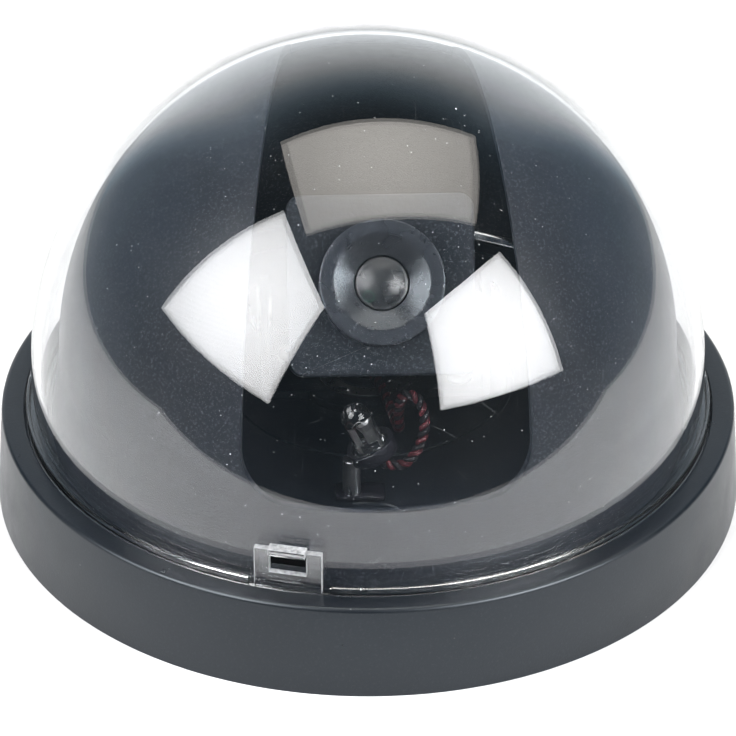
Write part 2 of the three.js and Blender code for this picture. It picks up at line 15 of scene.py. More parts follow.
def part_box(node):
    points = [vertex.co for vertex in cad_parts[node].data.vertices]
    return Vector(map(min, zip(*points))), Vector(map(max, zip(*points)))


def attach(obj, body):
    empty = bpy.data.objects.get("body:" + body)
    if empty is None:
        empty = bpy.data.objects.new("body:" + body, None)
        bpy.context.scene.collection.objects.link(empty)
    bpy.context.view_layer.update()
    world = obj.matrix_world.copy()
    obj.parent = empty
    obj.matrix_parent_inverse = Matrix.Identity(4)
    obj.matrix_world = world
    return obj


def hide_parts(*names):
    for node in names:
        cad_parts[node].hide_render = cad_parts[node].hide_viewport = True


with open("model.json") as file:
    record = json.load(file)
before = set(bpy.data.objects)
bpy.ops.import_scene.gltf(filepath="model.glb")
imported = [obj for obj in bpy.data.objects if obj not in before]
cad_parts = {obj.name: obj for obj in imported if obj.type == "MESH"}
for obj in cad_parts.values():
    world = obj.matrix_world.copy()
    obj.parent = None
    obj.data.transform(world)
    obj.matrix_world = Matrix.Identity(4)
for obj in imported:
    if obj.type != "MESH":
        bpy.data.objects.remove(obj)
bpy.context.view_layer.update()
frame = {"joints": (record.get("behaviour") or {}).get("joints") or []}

MM = 0.001
FINE = 256    # sides of the largest round shapes
ROUND = 96
SMALL = 40
GAP = 0.3     # clearance between neighbouring pieces

# ------------------------ places read from the frame

JOINTS = {joint["name"]: joint for joint in frame["joints"]}


def centre_of(node):
    low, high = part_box(node)
    return (low + high) / 2


def low_of(node):
    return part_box(node)[0] / MM


def high_of(node):
    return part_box(node)[1] / MM


tilt_axis = Vector(JOINTS["tilt"]["axis"])
latch_axis = Vector(JOINTS["latch_flex"]["axis"])
pivot = Vector(JOINTS["tilt"]["pos_m"])
sideways = -tilt_axis
lens_way = (centre_of("lens_bezel") - pivot).normalized()

PAN = Matrix.Rotation(math.atan2(sideways.y, sideways.x), 4, "Z")
LATCH = Matrix.Rotation(math.atan2(latch_axis.y, latch_axis.x), 4, "Z")
upwards = sideways.cross(-lens_way)
CAMERA = Matrix.Translation(pivot) @ Matrix((sideways, -lens_way, upwards)).transposed().to_4x4()
IDENTITY = Matrix.Identity(4)

BASE_RADIUS = high_of("base_housing").x
HUB_TOP = high_of("base_housing").z
TURNTABLE_BOTTOM = low_of("turntable").z
DECK_TOP = TURNTABLE_BOTTOM - GAP
TURNTABLE_RADIUS = high_of("turntable").x
TURNTABLE_TOP = high_of("turntable").z
FLANGE_BOTTOM = low_of("dome_cover").z
FLANGE_OUTER = high_of("dome_cover").x
DOME_TOP = high_of("dome_cover").z
LINER_FOOT = low_of("inner_liner").z

# ------------------------ design values, millimetres

BASE_TOP_RADIUS = 63.95
BASE_HEIGHT = 17.0
RECESS_RADIUS = 60.0
RECESS_FLOOR = 15.3
DECK_RADIUS = 53.4
HUB_RADIUS = 5.6
HUB_BORE = 3.4
KEYHOLE_X = 36.0
KEYHOLE_Y = -14.0
TRAY_HALF_LENGTH = 28.6
TRAY_WALL = 1.4
TRAY_SCREW_X = 31.6
TRAY_SCREW_Y = 22.1
LEAD_RADIUS = 0.58
DOME_RADIUS = 58.58
DOME_WALL = 1.5
LIP_INNER = 59.0
LIP_TOP = 18.2
FLANGE_TOP = 17.0
FLANGE_INNER = 56.5
LINER_RADIUS = 53.5
LINER_CENTRE = 28.0
LINER_WALL = 1.5
LINER_FOOT_RADIUS = 55.8
SLOT_MIDDLE = 1.5
SLOT_HALF = 17.4
SLOT_TAPER = 0.138
SLOT_FRONT = -60.0
SLOT_REAR = 25.0
SLOT_BOTTOM = 29.5
SLOT_CORNER = 8.5
CAMERA_SIDE = 1.2
EAR_INNER = 18.3
EAR_OUTER = 19.8
CAMERA_HALF_WIDTH = 14.0
CAMERA_REAR_RADIUS = 11.0
CAMERA_FRONT_HALF_HEIGHT = 13.0
CAMERA_FRONT = 34.7
CAMERA_WALL = 1.5
PLATE_HALF_WIDTH = 15.5
PLATE_HALF_HEIGHT = 15.0
PLATE_REAR = 35.0
PLATE_FRONT = 37.0
LENS_RING_RADIUS = 10.4
LENS_RING_INNER = 8.0
LENS_FRONT = 41.5
LENS_SEAT = 37.3
LIGHT = Vector((-0.8, -36.0, 31.0))
LIGHT_LEAN = 24.0
LIGHT_RADIUS = 2.5
LIGHT_LEAD_RADIUS = 0.44
TWIST_RADIUS = 0.46
TWIST_PITCH = 2.6
LATCH_HALF_WIDTH = 5.75
LATCH_TOP = 25.0
WINDOW_HALF_WIDTH = 3.15


# ------------------------ mesh tools

def rounded(outline, closed=True, steps=5):
    """Outline points (a, b) or (a, b, fillet) with each filleted corner turned into an arc."""
    points = []
    count = len(outline)
    for index, corner in enumerate(outline):
        here = Vector(corner[:2])
        fillet = corner[2] if len(corner) > 2 else 0
        if not fillet or (not closed and index in (0, count - 1)):
            points.append(tuple(here))
            continue
        back = Vector(outline[index - 1][:2]) - here
        ahead = Vector(outline[(index + 1) % count][:2]) - here
        half = back.angle(ahead) / 2
        reach = min(fillet / math.tan(half), 0.49 * min(back.length, ahead.length))
        radius = reach * math.tan(half)
        back.normalize()
        ahead.normalize()
        centre = here + (back + ahead).normalized() * radius / math.sin(half)
        start = here + back * reach - centre
        end = here + ahead * reach - centre
        sweep = start.angle(end)
        for step in range(steps + 1):
            part = step / steps
            blend = start * math.sin((1 - part) * sweep) + end * math.sin(part * sweep)
            points.append(tuple(centre + blend / math.sin(sweep)))
    return points


def sphere_arc(radius, centre, from_z, to_z, steps):
    start = math.asin(max(-1, min(1, (from_z - centre) / radius)))
    end = math.asin(max(-1, min(1, (to_z - centre) / radius)))
    angles = [start + (end - start) * step / steps for step in range(steps + 1)]
    return [(max(0, radius * math.cos(angle)), centre + radius * math.sin(angle)) for angle in angles]


def turned(outline, sides=ROUND, closed=True):
    """A shape turned about Z from (radius, height) points."""
    shape = bmesh.new()
    rings = []
    for radius, height in outline:
        if radius < 1e-6:
            rings.append([shape.verts.new((0, 0, height * MM))])
            continue
        angles = [2 * math.pi * k / sides for k in range(sides)]
        rings.append([
            shape.verts.new((radius * MM * math.cos(a), radius * MM * math.sin(a), height * MM))
            for a in angles
        ])
    pairs = list(zip(rings, rings[1:]))
    if closed:
        pairs.append((rings[-1], rings[0]))
    for one, two in pairs:
        for k in range(sides):
            after = (k + 1) % sides
            corners = [one[k % len(one)], one[after % len(one)]]
            corners += [two[after % len(two)], two[k % len(two)]]
            unique = list(dict.fromkeys(corners))
            if len(unique) > 2:
                shape.faces.new(unique)
    bmesh.ops.recalc_face_normals(shape, faces=shape.faces)
    return shape


def disc(radius, bottom, top, sides=SMALL, fillet=0.0):
    outline = [(0, bottom), (radius, bottom, fillet), (radius, top, fillet), (0, top)]
    return turned(rounded(outline, closed=False), sides, closed=False)


def ring(inner, outer, bottom, top, sides=ROUND, fillet=0.15):
    corners = [(inner, bottom), (outer, bottom), (outer, top), (inner, top)]
    return turned(rounded([(*corner, fillet) for corner in corners], steps=3), sides)


def block(low, high):
    shape = bmesh.new()
    bmesh.ops.create_cube(shape, size=1)
    low, high = Vector(low) * MM, Vector(high) * MM
    middle, size = (low + high) / 2, high - low
    for vert in shape.verts:
        vert.co = Vector([vert.co[k] * size[k] + middle[k] for k in range(3)])
    return shape


def prism(outline, bottom, top):
    """An outline in X and Y raised from one height to another."""
    shape = bmesh.new()
    below = [shape.verts.new((x * MM, y * MM, bottom * MM)) for x, y in outline]
    above = [shape.verts.new((x * MM, y * MM, top * MM)) for x, y in outline]
    shape.faces.new(below)
    shape.faces.new(above)
    for k in range(len(outline)):
        after = (k + 1) % len(outline)
        shape.faces.new((below[k], below[after], above[after], above[k]))
    bmesh.ops.recalc_face_normals(shape, faces=shape.faces)
    return shape


def rectangle(left, front, right, rear, fillet, steps=5):
    corners = [(left, front), (right, front), (right, rear), (left, rear)]
    return rounded([(*corner, fillet) for corner in corners], steps=steps)


def moved(shape, x=0, y=0, z=0):
    bmesh.ops.translate(shape, verts=shape.verts, vec=Vector((x, y, z)) * MM)
    return shape


def changed(shape, matrix):
    bmesh.ops.transform(shape, matrix=matrix, verts=shape.verts)
    return shape


TO_X = Matrix.Rotation(math.radians(90), 4, "Y")
ALONG_LENS = Matrix.Rotation(math.radians(90), 4, "X")
SIDE_VIEW = Matrix(((0, 0, 1, 0), (1, 0, 0, 0), (0, 1, 0, 0), (0, 0, 0, 1)))
ON_LENS = CAMERA @ ALONG_LENS


def joined(*shapes):
    """Several closed shapes in one mesh, without merging them."""
    whole = bmesh.new()
    for shape in shapes:
        part = bpy.data.meshes.new("part")
        shape.to_mesh(part)
        shape.free()
        whole.from_mesh(part)
        bpy.data.meshes.remove(part)
    return whole


def to_object(name, shape):
    mesh = bpy.data.meshes.new(name)
    shape.to_mesh(mesh)
    shape.free()
    obj = bpy.data.objects.new(name, mesh)
    bpy.context.scene.collection.objects.link(obj)
    return obj


def settled(obj):
    """The object with its modifiers applied."""
    graph = bpy.context.evaluated_depsgraph_get()
    mesh = bpy.data.meshes.new_from_object(obj.evaluated_get(graph))
    old = obj.data
    obj.modifiers.clear()
    obj.data = mesh
    bpy.data.meshes.remove(old)
    return obj


def carved(name, shapes, tools=(), bevel=0.0, segments=2, angle=40):
    """Shapes merged into one solid, cut by tools, with its edges broken by a small bevel."""
    obj = to_object(name, shapes[0])
    helpers = [("UNION", to_object("helper", shape)) for shape in shapes[1:]]
    helpers += [("DIFFERENCE", to_object("helper", shape)) for shape in tools]
    for operation, helper in helpers:
        step = obj.modifiers.new("step", "BOOLEAN")
        step.operation = operation
        step.solver = "EXACT"
        step.object = helper
    if helpers:
        settled(obj)
    for _, helper in helpers:
        mesh = helper.data
        bpy.data.objects.remove(helper)
        bpy.data.meshes.remove(mesh)
    if bevel:
        edge = obj.modifiers.new("edge", "BEVEL")
        edge.width = bevel * MM
        edge.segments = segments
        edge.limit_method = "ANGLE"
        edge.angle_limit = math.radians(angle)
        settled(obj)
    return obj


def piece(shape, name, material, body, nodes=(), matrix=IDENTITY, sharp=38):
    """A finished piece: placed, shaded, riding its body and standing for its CAD nodes."""
    obj = shape if isinstance(shape, bpy.types.Object) else to_object(name, shape)
    obj.name = name
    obj.data.name = name
    obj.data.transform(matrix)
    for polygon in obj.data.polygons:
        polygon.use_smooth = True
    obj.data.set_sharp_from_angle(angle=math.radians(sharp))
    obj.data.materials.clear()
    obj.data.materials.append(material)
    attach(obj, body)
    if nodes:
        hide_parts(*nodes)
    return obj


def smooth_path(points, steps):
    """Points of a Catmull-Rom curve through the given points, in metres."""
    anchors = [Vector(point) * MM for point in points]
    anchors = [2 * anchors[0] - anchors[1], *anchors, 2 * anchors[-1] - anchors[-2]]
    path = []
    for k in range(1, len(anchors) - 2):
        before, start, end, after = anchors[k - 1:k + 3]
        for step in range(steps):
            t = step / steps
            path.append(0.5 * (
                2 * start + (end - before) * t
                + (2 * before - 5 * start + 4 * end - after) * t * t
                + (3 * start - before - 3 * end + after) * t ** 3
            ))
    path.append(anchors[-2])
    return path


def frames_along(path):
    """A tangent and a twist-free side direction at every point of a path."""
    tangents = []
    for k in range(len(path)):
        ahead = path[min(k + 1, len(path) - 1)]
        behind = path[max(k - 1, 0)]
        tangents.append((ahead - behind).normalized())
    side = tangents[0].orthogonal().normalized()
    frames = []
    for tangent in tangents:
        side = (side - tangent * side.dot(tangent)).normalized()
        frames.append((tangent, side))
    return frames


def tube(path, radius, sides=14):
    """A round wire along a path in metres, with closed rounded ends."""
    shape = bmesh.new()
    rings = []
    frames = frames_along(path)
    last = len(path) - 1
    stations = [(0, -0.6, 0.55), *[(k, 0, 1) for k in range(last + 1)], (last, 0.6, 0.55)]
    for index, offset, scale in stations:
        tangent, side = frames[index]
        other = tangent.cross(side)
        centre = path[index] + tangent * offset * radius * MM
        ring_verts = []
        for k in range(sides):
            angle = 2 * math.pi * k / sides
            out = side * math.cos(angle) + other * math.sin(angle)
            ring_verts.append(shape.verts.new(centre + out * radius * scale * MM))
        rings.append(ring_verts)
    for one, two in zip(rings, rings[1:]):
        for k in range(sides):
            after = (k + 1) % sides
            shape.faces.new((one[k], one[after], two[after], two[k]))
    shape.faces.new(rings[0])
    shape.faces.new(rings[-1])
    bmesh.ops.recalc_face_normals(shape, faces=shape.faces)
    return shape


# ------------------------ material tools

class Look:
    """The nodes of a material, or of the world, under construction."""

    def __init__(self, name, kind="materials", output="ShaderNodeOutputMaterial"):
        self.made = getattr(bpy.data, kind).new(name)
        self.made.use_nodes = True
        self.tree = self.made.node_tree
        self.tree.nodes.clear()
        self.output = self.node(output)
        self.coordinates = self.node("ShaderNodeTexCoord").outputs
        self.place = self.coordinates["Object"]

    def node(self, kind, inputs=None, **settings):
        made = self.tree.nodes.new(kind)
        for key, value in settings.items():
            setattr(made, key, value)
        for key, value in (inputs or {}).items():
            if isinstance(value, bpy.types.NodeSocket):
                self.tree.links.new(value, made.inputs[key])
            else:
                made.inputs[key].default_value = value
        return made

    def noise(self, scale, detail=2.0, roughness=0.5, place=None):
        place = place or self.place
        inputs = {"Vector": place, "Scale": scale, "Detail": detail, "Roughness": roughness}
        return self.node("ShaderNodeTexNoise", inputs).outputs["Fac"]

    def stretched(self, scale, turn=(0, 0, 0)):
        inputs = {"Vector": self.place, "Scale": scale, "Rotation": turn}
        return self.node("ShaderNodeMapping", inputs).outputs["Vector"]

    def remap(self, value, low, high, to_low=0.0, to_high=1.0, smooth=False):
        inputs = {"Value": value, "From Min": low, "From Max": high, "To Min": to_low, "To Max": to_high}
        kind = "SMOOTHSTEP" if smooth else "LINEAR"
        made = self.node("ShaderNodeMapRange", inputs, interpolation_type=kind, clamp=True)
        return made.outputs["Result"]

    def math(self, operation, one, two=0.0):
        return self.node("ShaderNodeMath", {0: one, 1: two}, operation=operation).outputs[0]

    def distance(self, point):
        inputs = {0: self.place, 1: point}
        return self.node("ShaderNodeVectorMath", inputs, operation="DISTANCE").outputs["Value"]

    def mix_colour(self, factor, one, two):
        inputs = {0: factor, 6: one, 7: two}
        return self.node("ShaderNodeMix", inputs, data_type="RGBA").outputs[2]

    def uneven(self, low, high, *noise):
        """A value that wanders between two limits."""
        return self.remap(self.noise(*noise), 0.3, 0.7, low, high)

    def flecked(self, tone, strength):
        """A tone with fine pale flecks all over it."""
        flecks = self.remap(self.noise(2100, 2, 0.8), 0.55, 0.72, 0, strength)
        return self.mix_colour(flecks, tone, colour(0.09, 0.10, 0.115))

    def specks(self, scale, share, size):
        """Sparse round specks of varied strength: up to 0.9 on a speck, 0 elsewhere."""
        cells = self.node("ShaderNodeTexVoronoi", {"Vector": self.place, "Scale": scale})
        parts = self.node("ShaderNodeSeparateColor", {"Color": cells.outputs["Color"]})
        chosen = self.remap(parts.outputs[0], 1 - share, 1 - share + 0.001)
        spot = self.remap(cells.outputs["Distance"], size * 0.4, size, 1, 0, smooth=True)
        strength = self.remap(parts.outputs[1], 0.0, 1.0, 0.1, 0.9)
        return self.math("MULTIPLY", self.math("MULTIPLY", chosen, strength), spot)

    def bump(self, height, distance, strength=1.0):
        inputs = {"Height": height, "Distance": distance * MM, "Strength": strength}
        return self.node("ShaderNodeBump", inputs).outputs["Normal"]

    def principled(self, **inputs):
        named = {key.replace("_", " "): value for key, value in inputs.items()}
        return self.node("ShaderNodeBsdfPrincipled", named).outputs["BSDF"]

    def done(self, shader):
        self.tree.links.new(shader, self.output.inputs["Surface"])
        return self.made

    def surface(self, **inputs):
        return self.done(self.principled(**inputs))


def colour(red, green, blue):
    return (red, green, blue, 1.0)


def shaded(tint, share):
    return colour(*(share * part for part in tint[:3]))


def moulded(name, dark, light, roughness, grain, depth, dust=0.0, shine=0.5, speckle=0.0):
    """Moulded plastic: a fine grain in the surface, uneven gloss, a little dust."""
    look = Look(name)
    cloud = look.noise(38, 4, 0.6)
    fine = look.noise(grain, 3, 0.55)
    tone = look.mix_colour(look.remap(cloud, 0.35, 0.68), dark, light)
    if speckle:
        tone = look.flecked(tone, speckle)
    if dust:
        motes = look.specks(700, dust, 0.13)
        lint = look.specks(300, dust * 0.4, 0.07)
        tone = look.mix_colour(look.math("MAXIMUM", motes, lint), tone, colour(0.16, 0.165, 0.17))
    gloss = look.uneven(roughness - 0.05, roughness + 0.06, 90, 5, 0.65)
    normal = look.bump(fine, depth)
    return look.surface(
        Base_Color=tone, Roughness=gloss, Normal=normal, IOR=1.5, Specular_IOR_Level=shine,
        Specular_Tint=colour(0.86, 0.94, 1.0),
    )


def steel(name, tint, roughness, streak):
    """Plated steel with a drawn finish."""
    look = Look(name)
    lines = look.noise(420, 3, 0.6, look.stretched((1, 1, streak)))
    stain = look.noise(160, 4, 0.6)
    tone = look.mix_colour(look.remap(stain, 0.3, 0.75), tint, shaded(tint, 0.72))
    gloss = look.remap(lines, 0.3, 0.7, roughness - 0.08, roughness + 0.1)
    return look.surface(
        Base_Color=tone, Metallic=1.0, Roughness=gloss, Normal=look.bump(lines, 0.012),
    )


def insulation(name, tint, deep):
    look = Look(name)
    cloud = look.noise(700, 3, 0.6)
    tone = look.mix_colour(look.remap(cloud, 0.3, 0.7), tint, deep)
    gloss = look.uneven(0.34, 0.5, 1800, 2)
    return look.surface(
        Base_Color=tone, Roughness=gloss, Normal=look.bump(cloud, 0.02), IOR=1.5,
        Specular_IOR_Level=0.25,
    )


def clear_plastic(name, tint, dust, hairlines):
    """Clear moulded plastic. Lamps reach what is inside through the Transparent share."""
    look = Look(name)
    waves = look.noise(26, 2, 0.5)
    glass = look.principled(
        Base_Color=tint, Roughness=0.0, IOR=1.49, Transmission_Weight=1.0,
        Normal=look.bump(waves, 0.05, 0.4),
    )
    motes = look.specks(620, dust * 0.7, 0.11)
    small = look.specks(1700, dust * 1.5, 0.2)
    lint = look.specks(240, dust * 0.15, 0.06)
    covering = look.math("MAXIMUM", look.math("MAXIMUM", motes, small), lint)
    if hairlines:
        for turn, scale in (((0.3, 0.2, 0.9), (5200, 90, 90)), ((1.1, 0.5, 0.1), (90, 6000, 80))):
            scratch = look.noise(1.0, 1, 0.4, look.stretched(scale, turn))
            fine = look.remap(scratch, 0.775, 0.80, 0, hairlines)
            covering = look.math("MAXIMUM", covering, fine)
    film = look.remap(look.noise(24, 4, 0.6), 0.3, 0.8, 0.0, 0.003)
    covering = look.math("MAXIMUM", covering, film)
    dirt = look.node("ShaderNodeBsdfDiffuse", {"Color": colour(0.72, 0.75, 0.76)}).outputs[0]
    dusty = look.node("ShaderNodeMixShader", {0: covering, 1: glass, 2: dirt}).outputs[0]
    path = look.node("ShaderNodeLightPath").outputs["Is Shadow Ray"]
    through = look.node("ShaderNodeBsdfTransparent", {"Color": colour(0.92, 0.93, 0.94)}).outputs[0]
    return look.done(look.node("ShaderNodeMixShader", {0: path, 1: dusty, 2: through}).outputs[0])


def lens_plastic(name, middle, green_glint_centre):
    """Dark moulded lens with soft highlights, and a small green ring low on the left that is a painted
    reflection.
    """
    look = Look(name)
    bloom = look.uneven(0, 1, 500, 3)
    tone = look.mix_colour(bloom, colour(0.006, 0.007, 0.008), colour(0.010, 0.011, 0.012))
    # painted reflection: a faint green ring in the lens's colour stands for the glint of a coated inner
    # element
    off = look.math("ABSOLUTE", look.math("SUBTRACT", look.distance(green_glint_centre), 0.95 * MM))
    green = look.remap(off, 0.03 * MM, 0.22 * MM, 0.5, 0)
    tone = look.mix_colour(green, tone, colour(0.006, 0.03, 0.02))
    rim = look.remap(look.distance(middle), 3.7 * MM, 4.5 * MM)
    tone = look.mix_colour(rim, tone, colour(0.02, 0.021, 0.022))
    gloss = look.uneven(0.25, 0.31, 260, 3)
    return look.surface(
        Base_Color=tone, Roughness=gloss, IOR=1.5, Specular_IOR_Level=0.32, Coat_Weight=0.05,
        Coat_Roughness=0.06,
    )


housing_black = moulded("housing_black", colour(0.0018, 0.0026, 0.0042), colour(0.0028, 0.0040, 0.0060),
                        0.32, 3200, 0.02, dust=0.012, shine=0.44, speckle=0.07)
liner_black = moulded("liner_black", colour(0.0030, 0.0038, 0.0055), colour(0.0045, 0.0056, 0.0078),
                      0.5, 2400, 0.03, dust=0.02, shine=0.2, speckle=0.05)
gloss_black = moulded("gloss_black", colour(0.004, 0.004, 0.005), colour(0.006, 0.006, 0.008),
                      0.12, 900, 0.004)
zinc = steel("zinc_plate", colour(0.55, 0.56, 0.57), 0.3, 0.2)
nickel = steel("nickel_spring", colour(0.66, 0.64, 0.6), 0.24, 0.3)
red_insulation = insulation("red_insulation", colour(0.050, 0.008, 0.011),
                            colour(0.024, 0.005, 0.007))
black_insulation = insulation("black_insulation", colour(0.008, 0.007, 0.009),
                              colour(0.004, 0.004, 0.005))
dome_clear = clear_plastic("dome_clear", colour(0.985, 0.99, 0.995), 0.022, 0.03)
light_clear = clear_plastic("light_clear", colour(0.99, 0.99, 0.985), 0.0, 0)
# painted shade: a dead black used only for the shadow in the latch window
painted_shade_black = moulded("painted_shade_black", colour(0.0008, 0.0009, 0.001), colour(0.0015, 0.0016, 0.0018),
                      0.8, 2600, 0.01, shine=0.04)
dish_black = moulded("dish_black", colour(0.006, 0.0065, 0.0075), colour(0.009, 0.0095, 0.011),
                     0.26, 2600, 0.004, shine=0.5)
bright_pin = steel("bright_pin", colour(0.3, 0.31, 0.32), 0.16, 0.3)
dull_post = steel("dull_post", colour(0.34, 0.345, 0.36), 0.3, 0.3)
frame_metal = steel("frame_metal", colour(0.2, 0.2, 0.205), 0.3, 0.3)
speckled_black = moulded("speckled_black", colour(0.0025, 0.0032, 0.0048),
                         colour(0.0040, 0.0052, 0.0075), 0.5, 1500, 0.05, dust=0.04, shine=0.14,
                         speckle=0.4)
satin_black = moulded("satin_black", colour(0.005, 0.0058, 0.0075), colour(0.008, 0.009, 0.0115),
                      0.26, 2600, 0.01, shine=0.5)
lens_front = lens_plastic(
    "lens_front", ON_LENS @ (Vector((0, 0, 40)) * MM), ON_LENS @ (Vector((-2.1, -2.1, 39.5)) * MM),
)


# ------------------------ screws, drawn head up

def screw(name, head, shank, shank_bottom, head_bottom, head_top, body, place, node, flip=False):
    """A domed cross-head screw with head and shank radii; flip turns it over about its head."""
    stem = [
        (0, shank_bottom), (shank * 0.35, shank_bottom), (shank, shank_bottom + 1.1),
        (shank, head_bottom), (head, head_bottom, 0.12), (head, head_bottom + 0.35, 0.15),
    ]
    crown = [
        (head * math.cos(a), head_bottom + 0.35 + (head_top - head_bottom - 0.35) * math.sin(a))
        for a in (0.35, 0.65, 0.95, 1.25)
    ]
    outline = rounded(stem + crown + [(0, head_top)], closed=False, steps=3)
    long, short = head * 0.62, head * 0.13
    floor, above = head_top - 0.62, head_top + 1
    arms = [block((-x, -y, floor), (x, y, above)) for x, y in ((long, short), (short, long))]
    solid = carved(name, [turned(outline, SMALL, closed=False)], arms, bevel=0.05, segments=1)
    if flip:
        shift = Matrix.Translation((0, 0, (head_top + head_bottom) * MM))
        place = place @ shift @ Matrix.Rotation(math.pi, 4, "X")
    return piece(solid, name, zinc, body, [node], place)


def screw_set(name, node, count, sizes, body, flip=False):
    """Upright screws, each in the place of one of the numbered CAD nodes."""
    for number in range(1, count + 1):
        spot = centre_of(f"{node}_{number}")
        place = Matrix.Translation((spot.x, spot.y, 0))
        screw(f"{name}_{number}", *sizes, body, place, f"{node}_{number}", flip)


# ------------------------ base

def make_base_shell():
    outline = rounded([
        (BASE_RADIUS, 0, 0.25), (BASE_TOP_RADIUS, BASE_HEIGHT, 0.75), (RECESS_RADIUS, BASE_HEIGHT, 0.3),
        (RECESS_RADIUS, RECESS_FLOOR, 0.2), (DECK_RADIUS, RECESS_FLOOR, 0.3),
        (DECK_RADIUS, DECK_TOP, 0.5),
        (HUB_RADIUS, DECK_TOP, 0.4), (HUB_RADIUS, HUB_TOP, 0.3), (HUB_BORE, HUB_TOP, 0.2),
        (HUB_BORE, DECK_TOP - 2),
        (DECK_RADIUS - 1.6, DECK_TOP - 2, 0.5), (DECK_RADIUS - 1.6, RECESS_FLOOR - 1.8),
        (RECESS_RADIUS + 2.3, RECESS_FLOOR - 1.8, 0.8), (BASE_RADIUS - 2, 0, 0.2),
    ])
    shapes = [turned(outline, FINE)]
    for k in (1, 2, 3):
        middle = centre_of(f"housing_screw_{k}") / MM
        shapes.append(moved(ring(1.7, 3.6, 4.5, DECK_TOP - 1.7, SMALL), middle.x, middle.y))
    return piece(joined(*shapes), "base_shell", housing_black, "base", ["base_housing"])


def make_mounting_plate():
    level, top = 2.2, 3.8
    outline = rounded([
        (0, level), (49, level, 0.5), (50, 0, 0.3), (61.6, 0, 0.3), (61.6, 2, 0.4), (51.5, 2, 0.5),
        (50, top, 0.6), (0, top),
    ], closed=False)
    tools = []
    for k in (1, 2, 3):
        middle = centre_of(f"housing_screw_{k}") / MM
        tools.append(moved(disc(1.7, -1, 5), middle.x, middle.y))
    for x in (-KEYHOLE_X, KEYHOLE_X):
        tools.append(moved(disc(4, -1, 5), x, KEYHOLE_Y))
        tools.append(block((x - 2, KEYHOLE_Y - 10, -1), (x + 2, KEYHOLE_Y, 5)))
    tools.append(block((-26.5, 10.5, -1), (26.5, 33.5, 5)))
    switch = centre_of("switch_body") / MM
    tools.append(block((switch.x - 4, switch.y - 1.6, -1), (switch.x + 4, switch.y + 1.6, 5)))
    # shallow grooves ring the plate's underside
    for radius in (18, 30, 42):
        tools.append(ring(radius - 0.4, radius + 0.4, level - 1, level + 0.25, ROUND, 0))
    plate = carved("plate", [turned(outline, FINE, closed=False)], tools, bevel=0.12)
    return piece(plate, "mounting_dish", housing_black, "base", ["mounting_plate"])


def make_battery_door():
    low, high = low_of("battery_door"), high_of("battery_door")
    outline = rectangle(low.x, low.y, high.x, high.y, 1.5)
    tools = [block((-8, 9.2 + k * 1.5, 0), (8, 9.9 + k * 1.5, low.z + 0.4)) for k in range(4)]
    arrow = [(-3, 18.5), (3, 18.5), (0, 15.5)]
    tools.append(prism(arrow, 0, low.z + 0.3))
    door = carved("door", [prism(outline, low.z, high.z)], tools, bevel=0.12)
    return piece(door, "sliding_door", housing_black, "door", ["battery_door"])


def make_battery_tray():
    low, high = low_of("battery_tray"), high_of("battery_tray")
    wall = TRAY_WALL
    half = TRAY_HALF_LENGTH
    outer = block((-half, low.y, low.z), (half, high.y, high.z))
    tabs = block((low.x, 18.6, high.z - 1.6), (high.x, 25.6, high.z))
    hollow = block((-half + wall, low.y + wall, low.z - 1), (half - wall, high.y - wall, high.z - wall))
    holes = [moved(disc(1.4, 10, 20), x, TRAY_SCREW_Y) for x in (-TRAY_SCREW_X, TRAY_SCREW_X)]
    tray = carved("tray", [outer, tabs], [hollow, *holes], bevel=0.3)
    rib = block((-20, 21.8, 10), (20, 22.4, high.z - wall + 0.2))
    tray = carved("tray", [joined(from_object(tray), rib)])
    return piece(tray, "cell_tray", housing_black, "base", ["battery_tray"])


def from_object(obj):
    shape = bmesh.new()
    shape.from_mesh(obj.data)
    mesh = obj.data
    bpy.data.objects.remove(obj)
    bpy.data.meshes.remove(mesh)
    return shape


def cell_jacket():
    """Film jacket with two plain bands, and bare steel at the ends."""
    look = Look("cell_jacket")
    across = look.node("ShaderNodeSeparateXYZ", {"Vector": look.place}).outputs["X"]
    far = look.math("ABSOLUTE", across)
    band = look.remap(far, 0.0135, 0.0137)
    scuffs = look.remap(look.noise(380, 4, 0.7), 0.62, 0.7, 0, 0.4)
    tone = look.mix_colour(band, colour(0.03, 0.1, 0.2), colour(0.42, 0.43, 0.44))
    tone = look.mix_colour(scuffs, tone, colour(0.2, 0.24, 0.3))
    return look.surface(Base_Color=tone, Roughness=0.28, Metallic=0.35, Coat_Weight=0.6)


def make_cell(number):
    node = f"battery_cell_{number}"
    low, high = low_of(node), high_of(node)
    facing = 1 if number == 1 else -1
    radius = (high.z - low.z) / 2
    length = high.x - low.x - 0.8
    half = length / 2
    outline = rounded([
        (0, -half + 0.1), (3.4, -half + 0.1), (3.6, -half, 0.1), (radius, -half, 0.5),
        (radius, half, 0.5), (radius - 1.2, half, 0.1), (radius - 1.4, half - 0.25, 0.1),
        (1.9, half - 0.25, 0.15), (1.9, half + 0.8, 0.25), (0, half + 0.8),
    ], closed=False)
    middle = (low.x + high.x) / 2 - 0.4 * facing
    place = Matrix.Translation(Vector((middle, (low.y + high.y) / 2, (low.z + high.z) / 2)) * MM)
    turn = TO_X if facing == 1 else Matrix.Rotation(math.radians(-90), 4, "Y")
    shape = turned(outline, ROUND, closed=False)
    cell = piece(shape, f"cell_{number}", jacket, "base", [node], place @ turn)
    cell.data.materials.append(nickel)
    ends = [middle - half * facing, middle + (half - 0.6) * facing]
    for polygon in cell.data.polygons:
        x = polygon.center.x / MM
        beyond = (x - ends[1]) * facing > 0 or (ends[0] + 0.4 * facing - x) * facing > 0
        if beyond:
            polygon.material_index = 1
    return cell


